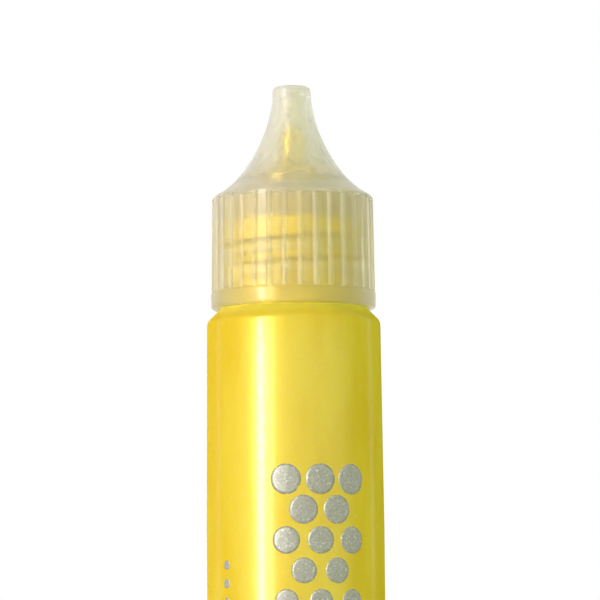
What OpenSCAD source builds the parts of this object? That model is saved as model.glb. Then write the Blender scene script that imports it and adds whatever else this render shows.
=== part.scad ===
// Dauber bottle: a slim squeeze bottle of paint with a fine dropper nozzle under a tall screw cap.
// The bottle stands on its base ring. Z is up, the origin is the middle of that ring, and the
// front faces -Y. All lengths are millimetres, and all outlines are [radius, height, rounding].

/* [Bottle] */
// Height of the body, up to the edge of the shoulder
body_h = 91.2; // [75:0.1:140]
// How far the top of the body stands out from the cap's plain band, all round
body_step = 0.6; // [0.3:0.05:4]
// How far the body draws in towards its top, all round
draw_in = 0.25; // [0:0.05:1]
// Height at which the body starts to draw in
draw_in_z = 62; // [10:1:72]
// Wall thickness of the blown body
wall = 0.9; // [0.6:0.05:1.3]
// Rounding of the base corner
base_round = 2.4; // [1.5:0.1:4]
// Depth of the pushed-up base
push_up = 1.6; // [0.6:0.1:3]
// Rounding where the body turns into the sloped shoulder
shoulder_round = 1.3; // [0.6:0.1:2]
// How far the flat top of the shoulder reaches past the inside of the cap's skirt
ledge_over = 0.35; // [0.2:0.05:0.5]
// Rise of that flat top from its edge to the neck
shoulder_rise = 0.1; // [0:0.05:0.3]

/* [Neck] */
// Bore of the neck
bore_d = 14.4; // [12:0.1:18]
// Wall thickness of the neck, under its thread
neck_wall = 1.5; // [1.2:0.05:2]
// Height of the thread's ridge on the neck
thread_h = 0.95; // [0.7:0.05:1.1]
// Height of the neck above the shoulder
neck_h = 12.3; // [11:0.1:16]
// Rise of the thread in one turn
pitch = 3.2; // [2.8:0.1:3.4]
// Turns of thread on the neck, and in the cap
thread_turns = 1.5; // [1:0.25:1.75]
// Distance from the top of the neck down to the middle of the thread's upper end
thread_top = 1.4; // [1.3:0.1:2.2]
// Angle from +X to the lower end of the thread, in degrees
thread_start = 200; // [0:5:355]

/* [Nozzle] */
// How far the flange reaches from the bore over the top of the neck
flange_over = 1.3; // [0.8:0.05:1.6]
// Thickness of the flange
flange_t = 1.1; // [0.8:0.1:1.5]
// Depth of the plug in the neck
plug_depth = 6; // [4:0.5:9]
// Wall thickness of the nozzle
nozzle_wall = 0.85; // [0.6:0.05:1]
// How far the foot of the hub stands in from the bore
hub_step = 1; // [0.9:0.05:1.5]
// How far the hub draws in towards its top, all round
hub_draft = 1.25; // [0.8:0.05:2]
// Height of the hub above the flange
hub_h = 4.9; // [4:0.1:5.4]
// Rise of the cone between the hub and the shank
cone_h = 2.5; // [1.8:0.1:3]
// Radius of the hollow sweep from that cone to the shank
cone_sweep = 3; // [1:0.1:3.6]
// Diameter of the shank at its foot
shank_d = 4; // [3.6:0.1:4.6]
// Length of the shank
shank_h = 3.4; // [2.5:0.1:4]
// Diameter of the tip at its step
tip_d = 2.7; // [2.4:0.1:3]
// Diameter of the tip at its mouth
mouth_d = 2.3; // [2:0.1:2.5]
// Length of the tip
tip_h = 4.2; // [3.4:0.1:4.4]
// Diameter of the orifice
orifice_d = 1.1; // [0.8:0.05:1.2]

/* [Cap] */
// Gap between the cap's foot and the shoulder
cap_gap = 0.15; // [0.1:0.05:0.4]
// How far the cap's rim reaches down round the edge of the shoulder's flat top
rim_drop = 0.2; // [0.1:0.05:0.4]
// Rounding of the cap's rim
rim_round = 0.5; // [0.3:0.05:0.6]
// Height of the skirt's top above the top of the neck
skirt_over = 3.8; // [3.4:0.1:5]
// Wall thickness of the skirt at its foot, between its ribs
skirt_wall = 1.43; // [1:0.01:2]
// How far the skirt draws in towards its top, all round
skirt_draft = 0.18; // [0:0.02:0.5]
// Height of the plain band at the foot of the skirt
band_h = 2.6; // [2:0.05:3.5]
// How far the plain band stands out from the backs of the ribs
band_step = 0.07; // [0.02:0.01:0.3]
// Number of ribs
rib_count = 32; // [16:1:40]
// Angle from +X to the first rib, in degrees
rib_turn = 5.5; // [0:0.5:11]
// Height of a rib
rib_h = 0.3; // [0.15:0.05:0.4]
// Radius of a rib's round back
rib_round = 0.5; // [0.4:0.05:0.7]
// Rounding of the ribs over the top of the skirt
skirt_round = 1.2; // [0.6:0.1:1.3]

/* [Spire] */
// How far the foot of the spire stands in from the top of the skirt
foot_step = 0.72; // [0.5:0.02:1.2]
// Diameter of the spire at its top
spire_top_d = 5.44; // [5:0.02:6]
// Straight stretch at the top of the spire
spire_straight = 0.65; // [0.5:0.05:1.5]
// Wall thickness of the spire
spire_wall = 1.1; // [0.8:0.05:1.2]
// Room between the nozzle's mouth and the solid end of the spire
tip_room = 1.8; // [1.4:0.1:3]
// Thickness of the solid end of the spire
end_t = 1.5; // [1.4:0.1:1.8]
// Rounding of that end
end_round = 0.7; // [0.3:0.1:0.9]
// Diameter of the dimple that the moulding gate leaves on the end
dimple_d = 2.5; // [1:0.1:3]
// Depth of the dimple
dimple_depth = 0.2; // [0.1:0.05:0.25]
// Part of the flare that grows steadily, as a share of the whole
steady_share = 0.05; // [0:0.01:0.1]
// Part of the flare that kicks out at the foot, as a share of the whole
kick_share = 0.14; // [0:0.01:0.2]
// Thickness of the sealing ring inside the cap
seal_ring_t = 0.8; // [0.6:0.05:0.9]

/* [Tip seal] */
// Diameter of the seal's collar
collar_d = 2.5; // [2:0.1:2.6]
// Diameter of the stem that turns in the end of the spire
stem_d = 1.9; // [1.6:0.1:2]
// Depth of the socket for the stem
socket_depth = 0.8; // [0.6:0.1:0.9]
// Diameter of the pin that closes the orifice
pin_d = 0.7; // [0.5:0.05:0.7]
// Length of the pin
pin_h = 1.2; // [0.8:0.1:1.6]

/* [Paint] */
// Height of the paint in the nozzle, above the foot of the tip
fill_h = 1.4; // [0.5:0.1:1.8]

/* [Fits] */
// Clearance between the crest of either thread and the wall that it faces
thread_gap = 0.3; // [0.25:0.05:0.4]
// Clearance between the flanks of the two threads, along the axis
flank_gap = 0.3; // [0.2:0.05:0.4]
// Clearance round the plug in the neck
plug_gap = 0.03; // [0.01:0.01:0.08]
// Clearance round the stem in its socket
stem_gap = 0.05; // [0.02:0.01:0.08]
// Clearance under the sealing ring and under the tip seal
seat_gap = 0.05; // [0.02:0.01:0.1]
// Clearance between the sealing ring and the hub
ring_gap = 0.4; // [0.2:0.05:0.6]
// Clearance between the paint and the walls round it
film_gap = 0.03; // [0.01:0.01:0.08]

/* [Hidden] */
$fn = 96;
// Steps in a rounded corner
corner_steps = 5;
// Steps along the spire's flare
flare_steps = 22;
// Steps in one turn of thread
turn_steps = 40;
// How far a cut runs past the surface it opens
overrun = 0.5;
// A chamfer or break on a moulded edge
edge = 0.3;

// Radii, from the bore outwards: the neck, then the cap that turns on it, then the body
bore_r = bore_d / 2;
neck_r = bore_r + neck_wall;
thread_r = neck_r + thread_h;
skirt_in_r = thread_r + thread_gap;
skirt_r = skirt_in_r + skirt_wall + rib_h;
skirt_top_r = skirt_r - skirt_draft;
foot_r = skirt_top_r - foot_step;
band_r = skirt_r + band_step;
body_top_r = band_r + body_step;
body_r = body_top_r + draw_in;

// Places on the bottle
ledge_r = skirt_in_r + ledge_over;
ledge_z = body_h + body_top_r - ledge_r;
shoulder_z = ledge_z + shoulder_rise;
neck_z = shoulder_z + neck_h;
ring_w = wall;
ring_r = body_r - base_round - ring_w;
floor_t = wall * 1.3;
// How far an outline moves along a wall at a 45 degree corner when it is drawn in by the wall
miter_share = tan(22.5);

// Places on the nozzle
plug_r = bore_r - plug_gap;
flange_r = bore_r + flange_over;
hub_r = bore_r - hub_step;
hub_top_r = hub_r - hub_draft;
plug_z = neck_z - plug_depth;
flange_z = neck_z + flange_t;
hub_top_z = flange_z + hub_h;
shank_z = hub_top_z + cone_h;
tip_z = shank_z + shank_h;
mouth_z = tip_z + tip_h;

// Places on the cap
cap_z = ledge_z - rim_drop;
// The rim's wall, which clears the shoulder's slope
rim_r = ledge_r + rim_drop + cap_gap * sqrt(2);
band_z = cap_z + band_h;
foot_z = neck_z + skirt_over;
end_z = mouth_z + tip_room;
cap_top_z = end_z + end_t;
seal_ring_r = hub_r + ring_gap + seal_ring_t;
spire_top_r = spire_top_d / 2;
spire_z = cap_top_z - spire_straight;
spire_h = spire_z - foot_z;
// How far down the flare the cavity's flat roof starts
roof_share = 0.96;

// The flare of the spire, from 0 at its top to 1 at its foot, and how fast it grows
square_share = 1 - steady_share - kick_share;
kick_power = 12;
function flare(t) = steady_share * t + square_share * t * t + kick_share * pow(t, kick_power);
function flare_rate(t) =
    steady_share + 2 * square_share * t + kick_share * kick_power * pow(t, kick_power - 1);
function spire_at(t) = [spire_top_r + (foot_r - spire_top_r) * flare(t), spire_z - spire_h * t];
function spire_in(t) =
    spire_at(t) - spire_wall * unit([spire_h, (foot_r - spire_top_r) * flare_rate(t)]);
// The fall of the surface at the spire's foot, as height lost for each millimetre outwards
foot_fall = spire_h / ((foot_r - spire_top_r) * flare_rate(1));

// Vectors, and an outline with its corners rounded
function unit(v) = v / norm(v);
function rounded_corner(before, p, after, round) =
    let (u = unit(before - p), v = unit(after - p), half = acos(u * v) / 2)
    let (middle = p + unit(u + v) * round / sin(half))
    let (first = p + u * round / tan(half) - middle, last = p + v * round / tan(half) - middle)
    [for (i = [0:corner_steps])
        middle + round * unit(first * (corner_steps - i) + last * i)];
function rounded(corners) =
    let (n = len(corners), flat = [for (c = corners) [c[0], c[1]]])
    [for (i = [0:n - 1]) each
        corners[i][2] == 0 ? [flat[i]]
            : rounded_corner(flat[(i + n - 1) % n], flat[i], flat[(i + 1) % n], corners[i][2])];

module turned(corners) {
    rotate_extrude() polygon(rounded(corners));
}

// A thread ridge: a tapered section swept along a helix that rises anticlockwise.
// root is the radius it grows from, crest the radius it reaches; it runs out at both ends.
thread_mid_r = (thread_r + neck_r + thread_gap) / 2;
// Half the width of a ridge at the middle of the engaged depth, and its growth towards the root
ridge_half = (pitch / 2 - flank_gap) / 2;
flank_share = 0.6;
root_embed = 0.3;
run_out_share = 0.08;
thread_z = neck_z - thread_top - thread_turns * pitch;
function run_out(t) = min(1, t / run_out_share, (1 - t) / run_out_share);
module ridge(root, crest, low_z) {
    outward = sign(crest - root);
    steps = ceil(thread_turns * turn_steps);
    base = root - outward * root_embed;
    function half_at(r) = ridge_half + outward * (thread_mid_r - r) * flank_share;
    function section(i) =
        let (t = i / steps, z = low_z + pitch * thread_turns * t)
        let (turn = thread_start + 360 * thread_turns * t)
        let (top = base + (crest - base) * (0.1 + 0.9 * run_out(t)))
        [for (p = [[base, -1], [top, -1], [top, 1], [base, 1]])
            [p[0] * cos(turn), p[0] * sin(turn), z + p[1] * half_at(p[0])]];
    points = [for (i = [0:steps]) each section(i)];
    sides = [for (i = [0:steps - 1], j = [0:3])
        let (a = 4 * i + j, b = 4 * i + (j + 1) % 4)
        each [[a, b, b + 4], [a, b + 4, a + 4]]];
    last = 4 * steps;
    ends = [[0, 2, 1], [0, 3, 2], [last, last + 1, last + 2], [last, last + 2, last + 3]];
    faces = concat(sides, ends);
    polyhedron(points, outward > 0 ? faces : [for (f = faces) [f[2], f[1], f[0]]]);
}

// The inside of the bottle up to the plug, drawn in by a clearance
function bottle_inside(gap) = [
    [0, push_up + floor_t + gap, 0],
    [ring_r - push_up * 2, push_up + floor_t + gap, push_up * 2],
    [ring_r, floor_t + gap, wall],
    [body_r - wall - gap, floor_t + gap, base_round - wall],
    [body_r - wall - gap, draw_in_z, 0],
    [body_top_r - wall - gap, body_h - wall * miter_share, 0],
    [ledge_r - wall * miter_share - gap, ledge_z - wall - gap, 0],
    [bore_r - gap, shoulder_z - wall - gap, 0],
];

// The inside of the nozzle, from the plug's mouth to the foot of the tip, drawn in by a clearance
function nozzle_inside(gap) = [
    [plug_r - nozzle_wall - gap, plug_z - gap, 0],
    [plug_r - nozzle_wall - gap, flange_z - nozzle_wall, 0],
    [hub_r - nozzle_wall - gap, flange_z - gap, 0],
    [hub_top_r - nozzle_wall - gap, hub_top_z - nozzle_wall / 2 - gap, 0],
    [shank_d / 2 - nozzle_wall - gap, shank_z - nozzle_wall / 2 - gap, cone_sweep],
    [orifice_d / 2 - gap, tip_z, 0],
];

// Blown bottle with a pushed-up base, a sloped shoulder and a threaded neck
module bottle() {
    color([0.93, 0.78, 0.27])
    difference() {
        union() {
            turned([
                [0, push_up, 0],
                [ring_r - push_up * 2, push_up, push_up * 2],
                [ring_r, 0, edge],
                [body_r, 0, base_round],
                [body_r, draw_in_z, 0],
                [body_top_r, body_h, shoulder_round],
                [ledge_r, ledge_z, edge],
                [neck_r, shoulder_z, edge],
                [neck_r, neck_z, edge],
                [0, neck_z, 0],
            ]);
            ridge(neck_r, thread_r, thread_z);
        }
        turned(concat(bottle_inside(0), [[bore_r, neck_z + overrun, 0], [0, neck_z + overrun, 0]]));
    }
}

// Dropper nozzle: a plug and flange in the neck, a hub, a slim shank and a finer tip
module nozzle() {
    color([0.93, 0.88, 0.66])
    difference() {
        turned([
            [0, plug_z, 0],
            [plug_r - edge, plug_z, 0],
            [plug_r, plug_z + edge, 0],
            [plug_r, neck_z, 0],
            [flange_r, neck_z, 0],
            [flange_r, flange_z, edge],
            [hub_r, flange_z, edge],
            [hub_top_r, hub_top_z, edge],
            [shank_d / 2, shank_z, cone_sweep],
            [(shank_d + tip_d) / 4 + edge / 2, tip_z, 0],
            [tip_d / 2, tip_z, 0],
            [mouth_d / 2, mouth_z, edge / 2],
            [0, mouth_z, 0],
        ]);
        turned(concat(
            [[0, plug_z - overrun, 0], [plug_r - nozzle_wall, plug_z - overrun, 0]],
            nozzle_inside(0),
            [[orifice_d / 2, mouth_z + overrun, 0], [0, mouth_z + overrun, 0]]
        ));
    }
}

// Paint that fills the bottle and stands in the nozzle
module paint() {
    color([0.95, 0.74, 0.16])
    turned(concat(
        bottle_inside(film_gap),
        [[bore_r - film_gap, plug_z - film_gap, 0]],
        nozzle_inside(film_gap),
        [[orifice_d / 2 - film_gap, tip_z + fill_h, 0], [0, tip_z + fill_h, 0]]
    ));
}

// Outer form of the cap between its ribs: the plain band, the skirt and the spire
module cap_core() {
    floor_top_r = skirt_top_r - rib_h;
    turned(concat(
        [
            [0, cap_z, 0],
            [band_r, cap_z, rim_round],
            [band_r, band_z - rib_h, edge],
            [skirt_r - rib_h, band_z, 0],
            [floor_top_r, foot_z - (floor_top_r - foot_r) * foot_fall, rib_h],
        ],
        [for (i = [0:flare_steps]) let (p = spire_at(1 - i / flare_steps)) [p[0], p[1], 0]],
        [[spire_top_r, cap_top_z, end_round], [0, cap_top_z, 0]]
    ));
}

// Ribs that stand on the skirt and run out over its rounded top
module ribs() {
    lean = atan(skirt_draft / (foot_z - band_z));
    // The ribs' upper ends are cut to this round, just under the spire's foot
    limit_r = skirt_top_r + rib_h / 5;
    limit_z = foot_z - rib_h / 5;
    intersection() {
        turned([
            [0, cap_z, 0],
            [skirt_r + rib_h, cap_z, 0],
            [limit_r, limit_z - (limit_r - foot_r) * foot_fall, skirt_round],
            [foot_r, limit_z, 0],
            [0, limit_z, 0],
        ]);
        for (i = [0:rib_count - 1])
            rotate(rib_turn + i * 360 / rib_count)
                translate([skirt_r - rib_round, 0, band_z - rib_h])
                    rotate([0, -lean, 0])
                        cylinder(h = foot_z - cap_z, r = rib_round);
    }
}

// The room inside the cap: the threaded skirt, its roof and the hollow spire
module cap_room() {
    turned(concat(
        [
            [0, cap_z - overrun, 0],
            [rim_r, cap_z - overrun, 0],
            [rim_r, ledge_z + cap_gap, edge / 2],
            [skirt_in_r, ledge_z + cap_gap, 0],
            [skirt_in_r, spire_in(roof_share)[1], edge],
        ],
        [for (i = [0:flare_steps])
            let (p = spire_in(roof_share * (1 - i / flare_steps)))
            if (p[1] < end_z - edge * 2) [p[0], p[1], 0]],
        [[spire_top_r - spire_wall, end_z, edge], [0, end_z, 0]]
    ));
}

// Screw cap: fluted skirt, concave spire, inner thread, sealing ring and a socket for the tip seal
module cap() {
    color([0.88, 0.84, 0.74, 0.7])
    difference() {
        union() {
            difference() {
                union() {
                    cap_core();
                    ribs();
                }
                cap_room();
            }
            ridge(skirt_in_r, neck_r + thread_gap, thread_z - pitch / 2);
            intersection() {
                cap_core();
                translate([0, 0, flange_z + seat_gap])
                    difference() {
                        cylinder(h = spire_h, r = seal_ring_r);
                        translate([0, 0, -overrun])
                            cylinder(h = spire_h + 2 * overrun, r = seal_ring_r - seal_ring_t);
                    }
            }
        }
        translate([0, 0, end_z - overrun])
            cylinder(h = overrun + socket_depth, r = stem_d / 2 + stem_gap);
        translate([0, 0, cap_top_z - dimple_depth])
            cylinder(h = overrun + dimple_depth, r1 = dimple_d / 2 - edge, r2 = dimple_d / 2 + edge);
    }
}

// Small plug in the end of the spire, whose pin closes the nozzle
module tip_seal() {
    color([0.9, 0.89, 0.85])
    turned([
        [0, mouth_z - pin_h, 0],
        [pin_d / 2, mouth_z - pin_h, edge / 2],
        [pin_d / 2, mouth_z + seat_gap, 0],
        [collar_d / 2, mouth_z + seat_gap, edge / 2],
        [collar_d / 2, end_z - seat_gap, edge / 2],
        [stem_d / 2, end_z - seat_gap, 0],
        [stem_d / 2, end_z + socket_depth - stem_gap * 2, edge / 2],
        [0, end_z + socket_depth - stem_gap * 2, 0],
    ]);
}

bottle();
nozzle();
paint();
cap();
tip_seal();
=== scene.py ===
# %% [markdown]
# A dotting bottle of pearly paint, as a lesson in cells.
#
# The real object is a slim plastic bottle filled with pearly yellow paint. A fine nozzle stands in its
# neck, under a tall screw cap of milky plastic. The solids come from the frame at their real size, in
# metres: the bottle, the nozzle, the paint, the cap and the little plug that seals the nozzle. This lesson
# gives each of them its finish, prints the front of the bottle, and sets up the studio and the camera.
# Nothing of the frame is moved.

# %% Load the frame
import math
import bmesh
import bpy
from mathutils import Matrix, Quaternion, Vector
from mathutils.bvhtree import BVHTree


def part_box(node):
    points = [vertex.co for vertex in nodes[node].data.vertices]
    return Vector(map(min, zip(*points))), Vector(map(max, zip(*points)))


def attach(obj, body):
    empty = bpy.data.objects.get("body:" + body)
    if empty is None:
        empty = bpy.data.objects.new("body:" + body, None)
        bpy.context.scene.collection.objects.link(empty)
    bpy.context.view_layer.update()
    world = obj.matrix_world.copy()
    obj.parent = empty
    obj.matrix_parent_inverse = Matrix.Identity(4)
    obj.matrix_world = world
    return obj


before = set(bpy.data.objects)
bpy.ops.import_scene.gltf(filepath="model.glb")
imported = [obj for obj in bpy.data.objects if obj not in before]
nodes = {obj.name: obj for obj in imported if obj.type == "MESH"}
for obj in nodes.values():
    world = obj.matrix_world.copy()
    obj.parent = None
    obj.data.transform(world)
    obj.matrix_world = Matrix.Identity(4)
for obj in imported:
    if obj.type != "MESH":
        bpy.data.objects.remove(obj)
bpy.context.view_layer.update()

MM = 0.001
print("solids:", sorted(nodes))

# %% [markdown]
# The camera stands where the photographer stood: some 60 cm away with a long lens, a little under the
# cap's height and looking slightly up, so that the foot of the cap curves down towards us. A long lens
# keeps the bottle's sides nearly parallel. The bottle leans by half a degree in the picture. Leaning the
# camera instead keeps it upright in the frame.

# %% Camera
CAMERA_DISTANCE = 594 * MM
CAMERA_PITCH = math.radians(5.5)
CAMERA_ROLL = math.radians(0.55)
AIM = Vector((0.93, 0.0, 94.4)) * MM
LENS_MM = 250
CLIP_START = 50 * MM

camera_data = bpy.data.cameras.new("camera")
camera_data.lens = LENS_MM
camera_data.clip_start = CLIP_START
camera = bpy.data.objects.new("camera", camera_data)
back = Vector((0, -math.cos(CAMERA_PITCH), -math.sin(CAMERA_PITCH)))
camera.location = AIM + back * CAMERA_DISTANCE
turn = back.to_track_quat("Z", "Y")
turn.rotate(Quaternion(back, -CAMERA_ROLL))
camera.rotation_mode = "QUATERNION"
camera.rotation_quaternion = turn
bpy.context.scene.collection.objects.link(camera)
bpy.context.scene.camera = camera
bpy.context.scene.view_settings.view_transform = "Standard"
print("camera at", [round(c, 4) for c in camera.location])

# %% [markdown]
# Materials are graphs of nodes. Two small classes let us write them as Python. A Socket is one output of a
# node, and each operator on it adds a Math node. A Tree holds the nodes of one material, and its method add
# makes any node from its kind, its settings and the values or links of its inputs.

# %% Sockets and trees
class Socket:
    """An output of a shader node that Python can calculate with."""

    def __init__(self, tree, output):
        self.tree = tree
        self.output = output

    def __add__(self, other):
        return self.tree.math("ADD", self, other)

    def __sub__(self, other):
        return self.tree.math("SUBTRACT", self, other)

    def __rsub__(self, other):
        return self.tree.math("SUBTRACT", other, self)

    def __mul__(self, other):
        return self.tree.math("MULTIPLY", self, other)

    def __abs__(self):
        return self.tree.math("ABSOLUTE", self, 0)

    __radd__ = __add__
    __rmul__ = __mul__


class Tree:
    """The nodes of one material, or of the world."""

    def __init__(self, owner):
        owner.use_nodes = True
        self.nodes = owner.node_tree.nodes
        self.links = owner.node_tree.links
        self.nodes.clear()

    def add(self, kind, settings=None, inputs=None, out=0):
        node = self.nodes.new(kind)
        for name, value in (settings or {}).items():
            setattr(node, name, value)
        for key, value in (inputs or {}).items():
            if isinstance(value, Socket):
                self.links.new(value.output, node.inputs[key])
            else:
                node.inputs[key].default_value = value
        return Socket(self, node.outputs[out]) if len(node.outputs) else None

    def math(self, operation, a, b):
        return self.add("ShaderNodeMath", {"operation": operation}, {0: a, 1: b})

    def mix(self, share, a, b):
        """Colour a where share is 0, colour b where it is 1."""
        return self.add("ShaderNodeMix", {"data_type": "RGBA"}, {0: share, 6: a, 7: b}, out=2)

    def step(self, value, low, high):
        """0 below low, 1 above high, and a soft step between."""
        return self.add(
            "ShaderNodeMapRange",
            {"interpolation_type": "SMOOTHSTEP"},
            {"Value": value, "From Min": low, "From Max": high},
        )

    def bell(self, value, low, low_top, high_top, high):
        """0 outside low and high, 1 between the two tops, with soft flanks."""
        return self.step(value, low, low_top) - self.step(value, high_top, high)


# %% [markdown]
# Textures need a place to be looked up at. The object coordinates of a frame solid are its real places in
# metres, so the size of a grain can be given in millimetres. Noise gives soft clouds, and a Voronoi texture
# cuts space into cells with a random number each, which makes good flakes. Stretched along Z, either of
# them turns into upright streaks.

# %% Texture helpers
PRINCIPLED = "ShaderNodeBsdfPrincipled"


def rgb(red, green, blue):
    """A colour as a paint chart gives it, from 0 to 255, turned into the linear values Blender wants."""
    parts = [c / 255 for c in (red, green, blue)]
    return (*[c / 12.92 if c <= 0.04045 else ((c + 0.055) / 1.055) ** 2.4 for c in parts], 1)


def place(tree, stretch=(1, 1, 1)):
    here = tree.add("ShaderNodeTexCoord", out="Object")
    return tree.add("ShaderNodeVectorMath", {"operation": "MULTIPLY"}, {0: here, 1: stretch})


def along(tree, axis):
    """The place along one axis: 0 is X, 1 is Y and 2 is Z."""
    return tree.add("ShaderNodeSeparateXYZ", inputs={0: place(tree)}, out=axis)


def from_axis(tree):
    """The distance from the bottle's upright axis."""
    flat = place(tree, (1, 1, 0))
    return tree.add("ShaderNodeVectorMath", {"operation": "LENGTH"}, {0: flat}, out="Value")


def facing_away(tree):
    """0 where the surface faces us, towards 1 where we look along it."""
    return tree.add("ShaderNodeLayerWeight", inputs={"Blend": 0.5}, out="Facing")


def clouds(tree, size, detail=2.0, stretch=(1, 1, 1)):
    inputs = {"Vector": place(tree, stretch), "Scale": 1 / size, "Detail": detail}
    return tree.add("ShaderNodeTexNoise", inputs=inputs)


def flakes(tree, size):
    inputs = {"Vector": place(tree), "Scale": 1 / size}
    cells = tree.add("ShaderNodeTexVoronoi", inputs=inputs, out="Color")
    return tree.add("ShaderNodeSeparateColor", inputs={0: cells})


def bump(tree, relief, depth):
    return tree.add("ShaderNodeBump", inputs={"Height": relief, "Distance": depth})


def finish(name, surface):
    """Makes a material. surface gets its Tree and returns the shader."""
    material = bpy.data.materials.new(name)
    tree = Tree(material)
    tree.add("ShaderNodeOutputMaterial", inputs={0: surface(tree)})
    return material


def dress(node, material):
    """Gives a solid of the frame its finish. The mesh itself stays as it is."""
    nodes[node].data.materials.clear()
    nodes[node].data.materials.append(material)
    print(node, "wears", material.name)


print("128 on a paint chart is", round(rgb(128, 128, 128)[0], 3), "in linear light")

# %% [markdown]
# The studio is plain. The world is white to the camera, to reflections and to what is seen through the
# plastic, and a soft grey for the light that it throws. A world that lit the bottle as white as it looks
# would wash its colours out.

# %% World
WORLD_LIGHT = 0.38
WORLD_TINT = (0.97, 1.0, 0.95, 1)
WHITE = (1, 1, 1, 1)

world = bpy.data.worlds.new("studio")
bpy.context.scene.world = world
sky = Tree(world)
lit = sky.add("ShaderNodeBackground", inputs={"Color": WORLD_TINT, "Strength": WORLD_LIGHT})
white = sky.add("ShaderNodeBackground", inputs={"Color": WHITE, "Strength": 1.0})


def shown(tree):
    """1 for what the camera sees, also in a reflection or through glass, 0 for light on things."""
    kinds = ("Is Camera Ray", "Is Glossy Ray", "Is Transmission Ray")
    return tree.math("MINIMUM", sum([tree.add("ShaderNodeLightPath", out=kind) for kind in kinds]), 1)


backdrop = sky.add("ShaderNodeMixShader", inputs={0: shown(sky), 1: lit, 2: white})
sky.add("ShaderNodeOutputWorld", inputs={0: backdrop})
print("the world lights at", WORLD_LIGHT, "and looks white")

# %% [markdown]
# One softbox could light the bottle, but then its shading and its highlight would hang together. So each
# lamp lights only some kinds of ray:
#
# - key, at the front left, shades the bottle from the left.
# - strip and glow are what the gloss shows: a narrow bright line, and a wider weak one that fades it to
#   the right.
# - fill, broad and at the right, lifts the shadow side. It is greenish, as the paint looks on that side,
#   and the key is a little pink against it, so the two meet in a neutral light.
# - two weak lamps behind keep the back from going dull.

# %% Lamps
SUBJECT = Vector((0, 0, 80)) * MM
PINKISH = (1.0, 0.92, 0.96)
WARM = (1.0, 0.98, 0.95)
GREENISH = (0.55, 1.0, 0.08)
NEUTRAL = (1.0, 1.0, 0.98)


def softbox(name, azimuth, elevation, distance, size, watts, colour, rays):
    """An area light aimed at the bottle. azimuth is in degrees to the right of the camera's side."""
    data = bpy.data.lights.new(name, "AREA")
    data.shape = "RECTANGLE"
    data.size, data.size_y = size
    data.energy = watts
    data.color = colour
    light = bpy.data.objects.new(name, data)
    a, e = math.radians(azimuth), math.radians(elevation)
    out = Vector((math.sin(a) * math.cos(e), -math.cos(a) * math.cos(e), math.sin(e)))
    light.location = SUBJECT + out * distance
    light.rotation_mode = "QUATERNION"
    light.rotation_quaternion = out.to_track_quat("Z", "Y")
    light.visible_camera = False
    for kind in ("diffuse", "glossy", "transmission"):
        setattr(light, "visible_" + kind, kind in rays)
    bpy.context.scene.collection.objects.link(light)
    print(name, "at", [round(c, 2) for c in light.location])


softbox("key", -50, 8, 0.9, (0.2, 0.8), 5.4, PINKISH, ("diffuse", "transmission"))
softbox("strip", -45, 8, 0.9, (0.12, 0.8), 7.6, WARM, ("glossy", "transmission"))
softbox("glow", -34, 8, 0.9, (0.2, 0.8), 2.8, WARM, ("glossy",))
softbox("fill", 54, 12, 1.2, (0.8, 1.0), 3.1, GREENISH, ("diffuse", "transmission"))
for side in (-160, 160):
    softbox("back", side, 25, 1.2, (0.8, 1.0), 1.5, NEUTRAL, ("diffuse",))

# %% [markdown]
# The floor is a wide sheet of pale paper. For the camera, and for what glass and gloss show, half of it
# glows white, so it stays pale under weak lamps and under the tinted fill. The other half is real paper,
# which takes the shadow.

# %% Floor
FLOOR_R = 2.0
FLOOR_SIDES = 96
FLOOR_DROP = 0.1 * MM
PAPER_GLOW = 0.5
PAPER_CLOUD = 8 * MM

floor_mesh = bpy.data.meshes.new("floor")
disc = bmesh.new()
bmesh.ops.create_circle(disc, cap_ends=True, segments=FLOOR_SIDES, radius=FLOOR_R)
disc.to_mesh(floor_mesh)
disc.free()
floor = bpy.data.objects.new("floor", floor_mesh)
floor.location.z = -FLOOR_DROP
bpy.context.scene.collection.objects.link(floor)


def paper(tree):
    colour = tree.mix(clouds(tree, PAPER_CLOUD), rgb(240, 240, 240), rgb(246, 246, 246))
    sheet = tree.add(PRINCIPLED, inputs={"Base Color": colour, "Roughness": 0.8})
    glow = tree.add("ShaderNodeEmission", inputs={"Color": WHITE, "Strength": 1.0})
    return tree.add("ShaderNodeMixShader", inputs={0: shown(tree) * PAPER_GLOW, 1: sheet, 2: glow})


floor_mesh.materials.append(finish("studio_paper", paper))
print("floor of", FLOOR_R, "m radius")

# %% [markdown]
# The body looks like pearl paint under clear plastic. Mica flakes in the paint throw light back in a broad
# soft glow, and the paint settles in faint upright streaks. Here and there a flake is painted pale as a
# glint, a painted highlight in the base colour. It could be modelled as it is, a clear wall round opaque
# paint, but light that has to find its way through the wall makes a noisy picture. So one shader on the
# outside does both. The base colour swings between a deep and a pale yellow. A small part is metallic, with
# a middling roughness, for the glow of the mica. A clear coat stands for the skin of the wall: fine clouds
# break its shine into the grain of the flakes, and it fades just under the shoulder. Near the sides, where
# we look along the skin of the wall, a faint line of it comes back. On the top of the shoulder and on the
# neck under the cap the yellow is painted brighter: painted light that lifts the shade the cap throws there.

# %% Pearl finish of the bottle
DEEP = rgb(244, 209, 53)
PALE = rgb(249, 219, 67)
# painted light: a brighter yellow for the shoulder's top and the neck, against the shade of the cap
PAINTED_LIGHT_UNDER_CAP = rgb(255, 236, 95)
# painted highlight: the pale fleck of a flake that glints
PAINTED_GLINT = rgb(255, 246, 170)
SHOULDER = 93.2 * MM
FLAKE = 0.2 * MM
MOTTLE = 0.4 * MM
STREAK = 5 * MM
SEAM_HALF = 0.1 * MM
MICA = 0.13
PEARL_DEPTH = 0.04 * MM


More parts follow.
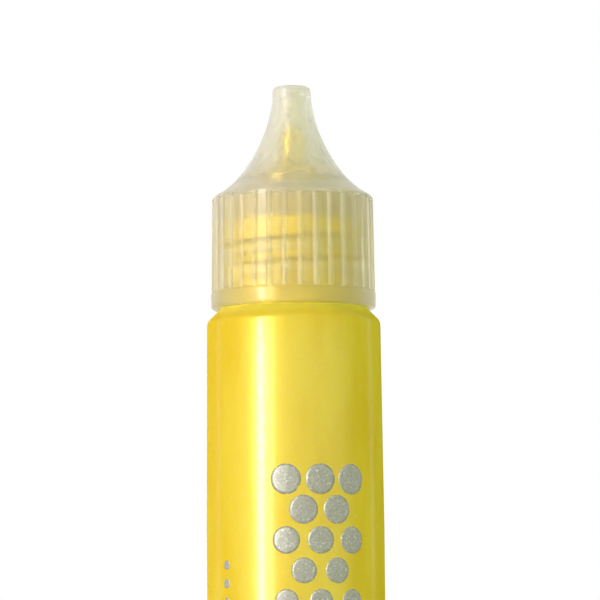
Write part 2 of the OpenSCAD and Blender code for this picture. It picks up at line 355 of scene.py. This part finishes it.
def wall_shine(tree, up, facing):
    """How much of the clear coat shows."""
    front = 1 - tree.step(facing, 0.09, 0.32)
    edge_line = tree.bell(facing, 0.44, 0.49, 0.52, 0.58)
    under_shoulder = tree.bell(up, SHOULDER - 8 * MM, SHOULDER - MM, SHOULDER, SHOULDER + MM)
    mottle = tree.step(clouds(tree, MOTTLE, detail=3), 0.4, 0.65)
    return front * (1 - under_shoulder * 0.45) * (1 - mottle * 0.35) + edge_line * 0.4


def pearl(tree):
    up = along(tree, 2)
    facing = facing_away(tree)
    streaks = clouds(tree, STREAK, detail=3, stretch=(1, 1, 0.25))
    flake = flakes(tree, FLAKE)
    painted_glints = tree.step(flake, 0.95, 0.99)
    seam = 1 - tree.step(abs(along(tree, 1)), SEAM_HALF / 2, SEAM_HALF * 2)
    body = tree.mix(tree.step(streaks, 0.35, 0.65), DEEP, PALE)
    # painted light: brighter from just under the shoulder's top up the neck, where the cap shades it
    colour = tree.mix(tree.step(up, SHOULDER - 2 * MM, SHOULDER), body, PAINTED_LIGHT_UNDER_CAP)
    return tree.add(PRINCIPLED, inputs={
        # painted highlight: a few flakes are painted pale as glints
        "Base Color": tree.mix(painted_glints * 0.2, colour, PAINTED_GLINT),
        "Metallic": (1 - tree.step(facing, 0.3, 0.7)) * MICA,
        "Roughness": 0.42 - streaks * 0.08,
        "Specular IOR Level": 0.0,
        "Normal": bump(tree, flake * 0.12 + streaks * 0.3 + seam, PEARL_DEPTH),
        "Coat Weight": wall_shine(tree, up, facing),
        "Coat Roughness": 0.2,
        "Coat IOR": 1.55,
    })


dress("bottle", finish("pearl_bottle", pearl))

# %% [markdown]
# The same paint fills the nozzle, without the clear wall over it. So it needs no coat, and more of the mica
# shows.

# %% Paint
PAINT_DEPTH = 0.01 * MM


def paint(tree):
    flake = flakes(tree, FLAKE)
    return tree.add(PRINCIPLED, inputs={
        # painted highlight: a few flakes are painted pale as glints
        "Base Color": tree.mix(tree.step(flake, 0.9, 0.97) * 0.5, DEEP, PAINTED_GLINT),
        "Metallic": 0.3,
        "Roughness": 0.4,
        "Normal": bump(tree, flake, PAINT_DEPTH),
    })


dress("paint", finish("pearl_paint", paint))

# %% [markdown]
# The cap is natural polypropylene, clear but milky: light goes through it and is scattered on the way.
# Subsurface scattering could show that, yet it hides the neck and the thread behind the wall. So a Mix
# Shader blends two finishes instead, one clear and one of milk, and the share of milk follows the thickness
# of the plastic. For that the shader has to know where on the cap it is. These masks are 1 in one region of
# the cap and 0 elsewhere, by height and by distance from the axis.

# %% Regions of the cap
BAND_TOP = 95.6 * MM
SPIRE_FOOT = 109 * MM
SPIRE_END = 123.5 * MM
RIB_FLOOR_R = 11.42 * MM
RIB_BACK_R = 11.62 * MM
SKIRT_DRAFT = 0.013
SKIRT_IN_R = 9.95 * MM


def cap_regions(tree, up):
    out = from_axis(tree)
    skirt = 1 - tree.step(up, SPIRE_FOOT - MM, SPIRE_FOOT)
    above_band = tree.step(up, BAND_TOP - 0.2 * MM, BAND_TOP)
    straight = out + (up - BAND_TOP) * SKIRT_DRAFT
    return {
        "skirt": skirt,
        "above_band": above_band,
        "rib": tree.step(straight, RIB_FLOOR_R, RIB_BACK_R) * above_band,
        "inside": (1 - tree.step(out, SKIRT_IN_R, SKIRT_IN_R + 0.2 * MM)) * skirt,
        "ridge": (1 - tree.step(out, SKIRT_IN_R - 0.2 * MM, SKIRT_IN_R - 0.05 * MM)) * skirt,
        "knee": tree.bell(up, SPIRE_FOOT - 2 * MM, SPIRE_FOOT, SPIRE_FOOT + MM, SPIRE_FOOT + 4 * MM),
        "spire": tree.step(up, SPIRE_FOOT - MM, SPIRE_FOOT + 6 * MM),
        "end": tree.step(up, SPIRE_END - 0.2 * MM, SPIRE_END + 0.2 * MM),
    }


print("the cap's ribs stand", round((RIB_BACK_R - RIB_FLOOR_R) / MM, 2), "mm proud in the shader")

# %% [markdown]
# The clear finish is rough glass that lets what stands behind it through, blurred. It is partly see through
# as well, so that light reaches the neck, and less so where we look along the skirt's wall. In the band and
# round the neck the wall, clear and milky, is painted yellower: painted light, the yellow glow the paint
# throws into the plastic. The band is painted darker as well. Elsewhere the milk is plain and pale. There is
# more of it in the ribs, at the knee between skirt and spire and on the wall inside, and less between the
# ribs. Fine upright columns of milk in the skirt are painted light, the thin bright and dark lines that
# light draws in ribbed plastic, and streaks in the spire show how the melt flowed into the mould.

# %% Milky plastic of the cap
NECK_TOP = 105.65 * MM
# painted light: the band and the wall round the neck are tinted with the paint's yellow glow; the band is
# also darker
CLEAR_BAND_PAINTED_GLOW = rgb(222, 215, 146)
CLEAR_LOW_PAINTED_GLOW = rgb(240, 232, 190)
CLEAR_HIGH = rgb(240, 232, 204)
CLEAR_SPIRE = rgb(252, 248, 228)
CLEAR_END = rgb(255, 253, 245)
MILK_SKIRT = rgb(241, 232, 200)
MILK_SPIRE = rgb(251, 246, 222)
# painted light: the milk inside, beside the neck, carries the paint's yellow glow
MILK_BY_NECK_PAINTED_GLOW = rgb(244, 231, 168)
MILK_OVER_NECK = rgb(244, 232, 188)
MILK_EVERYWHERE = 0.05
# painted light: the width of the upright columns that stand for lines of light in the ribbed plastic
PAINTED_LIGHT_COLUMN = 0.6 * MM
FLOW = 2.2 * MM
SKIN = 1.5 * MM
SKIN_DEPTH = 0.004 * MM


def clear_plastic(tree, up, region, relief):
    skirt, inside = region["skirt"], region["inside"]
    high = tree.step(up, NECK_TOP - 3 * MM, NECK_TOP + 2 * MM)
    # painted light: the paint's yellow glow in the band and round the neck, fading out above the neck's top
    wall = tree.mix(region["above_band"], CLEAR_BAND_PAINTED_GLOW, tree.mix(high, CLEAR_LOW_PAINTED_GLOW, CLEAR_HIGH))
    along_wall = tree.step(facing_away(tree), 0.35, 0.9) * skirt
    return tree.add(PRINCIPLED, inputs={
        "Base Color": tree.mix(region["end"], tree.mix(region["spire"], wall, CLEAR_SPIRE), CLEAR_END),
        "Roughness": 0.26 + skirt * 0.04 + inside * 0.3,
        "IOR": 1.3,
        "Transmission Weight": 1.0,
        "Normal": relief,
        "Coat Weight": (1 - inside) * (1 - region["above_band"] * skirt) * 0.6,
        "Coat Roughness": 0.16,
        "Coat IOR": 1.4,
        "Alpha": 0.7 - region["spire"] * 0.2 + along_wall * 0.3 + inside * 0.3,
    })


def plain_milk(tree, up, region, relief):
    over_neck = tree.step(up, NECK_TOP - MM, NECK_TOP + 2 * MM)
    # painted light: the milk beside the neck is yellowed by the paint's glow
    behind = tree.mix(over_neck, MILK_BY_NECK_PAINTED_GLOW, MILK_OVER_NECK)
    outside = tree.mix(region["spire"], MILK_SKIRT, MILK_SPIRE)
    return tree.add(PRINCIPLED, inputs={
        "Base Color": tree.mix(region["inside"], outside, behind),
        "Roughness": 0.4,
        "Specular IOR Level": 0.2,
        "Normal": relief,
    })


def milk_share(tree, region):
    """The share of milk, from the thickness of the plastic and the flow of the melt."""
    flow = tree.step(clouds(tree, FLOW, detail=1, stretch=(1, 1, 0.02)), 0.4, 0.65) - 0.5
    # painted light: upright columns of more and less milk, for the lines light draws in the ribbed plastic
    fine = tree.step(clouds(tree, PAINTED_LIGHT_COLUMN, detail=1, stretch=(1, 1, 0.02)), 0.35, 0.65) - 0.5
    share = MILK_EVERYWHERE + region["rib"] * (1 - region["knee"]) * 0.27
    share = share + region["inside"] * 0.32 + region["ridge"] * 0.32 + region["knee"] * 0.25
    share = share + region["spire"] * 0.24 + flow * region["spire"] * 0.07 + region["end"] * 0.1
    return share + fine * region["skirt"] * region["above_band"] * 0.34


def cap_plastic(tree):
    up = along(tree, 2)
    region = cap_regions(tree, up)
    relief = bump(tree, clouds(tree, SKIN, detail=3), SKIN_DEPTH)
    return tree.add("ShaderNodeMixShader", inputs={
        0: milk_share(tree, region),
        1: clear_plastic(tree, up, region, relief),
        2: plain_milk(tree, up, region, relief),
    })


dress("cap", finish("milky_cap", cap_plastic))

# %% [markdown]
# The nozzle and the plug that seals it are softer plastic, seen only through the cap. Where paint stands in
# the nozzle its colour shows through the wall, from the flange up to the paint's level, and above that the
# nozzle is clear.

# %% Nozzle and seal
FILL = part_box("paint")[1].z
FLANGE_TOP = 106.75 * MM
NOZZLE_SKIN = 1.0 * MM
NOZZLE_DEPTH = 0.008 * MM
SEAL_SKIN = 0.6 * MM
SEAL_DEPTH = 0.02 * MM


def nozzle_plastic(tree):
    skin = clouds(tree, NOZZLE_SKIN)
    up = along(tree, 2)
    filled = tree.bell(up, FLANGE_TOP, FLANGE_TOP + MM, FILL - MM, FILL + MM)
    empty = tree.mix(skin, rgb(253, 250, 238), rgb(255, 253, 246))
    full = tree.mix(skin, rgb(240, 214, 40), rgb(246, 224, 60))
    return tree.add(PRINCIPLED, inputs={
        "Base Color": tree.mix(filled, empty, full),
        "Metallic": filled * 0.35,
        "Roughness": 0.24 + skin * 0.08,
        "IOR": 1.3,
        "Transmission Weight": 0.45,
        "Alpha": 1 - tree.step(up, FILL, FILL + 2 * MM) * 0.5,
        "Normal": bump(tree, skin, NOZZLE_DEPTH),
    })


def seal_plastic(tree):
    skin = clouds(tree, SEAL_SKIN)
    return tree.add(PRINCIPLED, inputs={
        "Base Color": tree.mix(skin, rgb(250, 248, 238), rgb(254, 252, 245)),
        "Roughness": 0.25,
        "IOR": 1.3,
        "Transmission Weight": 0.92,
        "Normal": bump(tree, skin, SEAL_DEPTH),
    })


dress("nozzle", finish("milky_nozzle", nozzle_plastic))
dress("tip_seal", finish("soft_seal", seal_plastic))
print("the paint stands", round(FILL / MM, 1), "mm high")

# %% [markdown]
# The front carries a print in silver glitter ink: a field of round dots, which shrink on their way down, as
# such a bottle might dab them, and a row of small ones beside it. A picture on the wall could show them, but
# screen ink lies on the wall as a layer of a few hundredths of a millimetre, and its edge catches the light.
# So each dot is a thin disc whose points are found on the bottle itself, by a ray from outside towards the
# axis.

# %% A dot of ink on the bottle
INK = 0.04 * MM
EDGE_POWER = 6
BODY_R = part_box("bottle")[1].x
bottle_skin = BVHTree.FromObject(nodes["bottle"], bpy.context.evaluated_depsgraph_get())


def on_bottle(across, up, lift):
    """The point `across` metres round the front, `up` metres high, lifted off the wall."""
    angle = across / BODY_R
    out = Vector((math.sin(angle), -math.cos(angle), 0))
    hit = bottle_skin.ray_cast(out * 2 * BODY_R + Vector((0, 0, up)), -out)[0]
    return hit + out * lift


def ink_dot(mesh, across, up, radius, rings=5, sides=40):
    """A round dot with a soft edge: a crown of rings, closed by a flat back just under the wall."""
    middle = mesh.verts.new(on_bottle(across, up, INK))
    under = mesh.verts.new(on_bottle(across, up, -INK / 2))
    last = None
    for ring in range(1, rings + 2):
        share = min(ring, rings) / rings
        lift = INK * (1 - share ** EDGE_POWER) if ring <= rings else -INK / 2
        row = []
        for side in range(sides):
            angle = 2 * math.pi * side / sides
            x, z = radius * share * math.cos(angle), radius * share * math.sin(angle)
            row.append(mesh.verts.new(on_bottle(across + x, up + z, lift)))
        for side in range(sides):
            nxt = (side + 1) % sides
            if last is None:
                mesh.faces.new((middle, row[side], row[nxt]))
            else:
                mesh.faces.new((last[side], row[side], row[nxt], last[nxt]))
            if ring == rings + 1:
                mesh.faces.new((under, row[nxt], row[side]))
        last = row


print("the ink lies", INK / MM, "mm thick on a body of", round(BODY_R / MM, 2), "mm radius")

# %% [markdown]
# The field stands a little right of the middle. Its rows hold three and two dots in turn, so that each dot
# sits between two of the row above, and the rows are as far apart as in a honeycomb.

# %% Lay out the print
PRINT_TOP = 70.4 * MM
PRINT_END = 16 * MM
PRINT_ACROSS = 3.6 * MM
DOT_PITCH = 4.9 * MM
DOT_D = 4.3 * MM
DOT_END_D = 1.5 * MM
SIDE_ACROSS = -11 * MM
SIDE_TOP = 56.5 * MM
SIDE_PITCH = 2.6 * MM
SIDE_D = 1.3 * MM

ink = bmesh.new()
row_step = DOT_PITCH * math.sqrt(3) / 2
rows = int((PRINT_TOP - PRINT_END) / row_step) + 1
dots = 0
for row in range(rows):
    diameter = DOT_D + (DOT_END_D - DOT_D) * row / (rows - 1)
    count = 3 - row % 2
    for place_in_row in range(count):
        across = PRINT_ACROSS + (place_in_row - (count - 1) / 2) * DOT_PITCH
        ink_dot(ink, across, PRINT_TOP - DOT_D / 2 - row * row_step, diameter / 2)
        dots += 1
up = SIDE_TOP
while up > PRINT_END:
    ink_dot(ink, SIDE_ACROSS, up, SIDE_D / 2, rings=4, sides=20)
    up -= SIDE_PITCH
    dots += 1
print_mesh = bpy.data.meshes.new("print_dots")
ink.normal_update()
ink.to_mesh(print_mesh)
ink.free()
print_mesh.polygons.foreach_set("use_smooth", [True] * len(print_mesh.polygons))
print_dots = bpy.data.objects.new("print_dots", print_mesh)
bpy.context.scene.collection.objects.link(print_dots)
print(dots, "dots of ink in", rows, "rows and a line")

# %% [markdown]
# Glitter ink is clear ink full of tiny metal flakes that lie at all angles. A Voronoi cell for each flake
# gives it its own grey and its own tilt, and a few of them are painted near white as glints, a painted
# highlight.

# %% Glitter ink
GRAIN = 0.16 * MM
GRAIN_CLOUD = 0.3 * MM
GRAIN_DEPTH = 0.012 * MM


def glitter(tree):
    grain = flakes(tree, GRAIN)
    fine = clouds(tree, GRAIN_CLOUD, detail=3)
    colour = tree.mix(grain, rgb(158, 157, 144), rgb(190, 189, 174))
    return tree.add(PRINCIPLED, inputs={
        # painted highlight: a few flakes are painted near white as glints
        "Base Color": tree.mix(tree.step(grain, 0.94, 0.98) * 0.5, colour, rgb(245, 245, 238)),
        "Metallic": 0.5,
        "Roughness": 0.55 - fine * 0.2,
        "Normal": bump(tree, grain, GRAIN_DEPTH),
    })


print_mesh.materials.append(finish("silver_glitter", glitter))
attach(print_dots, "bottle")
print("the print wears", print_mesh.materials[0].name)
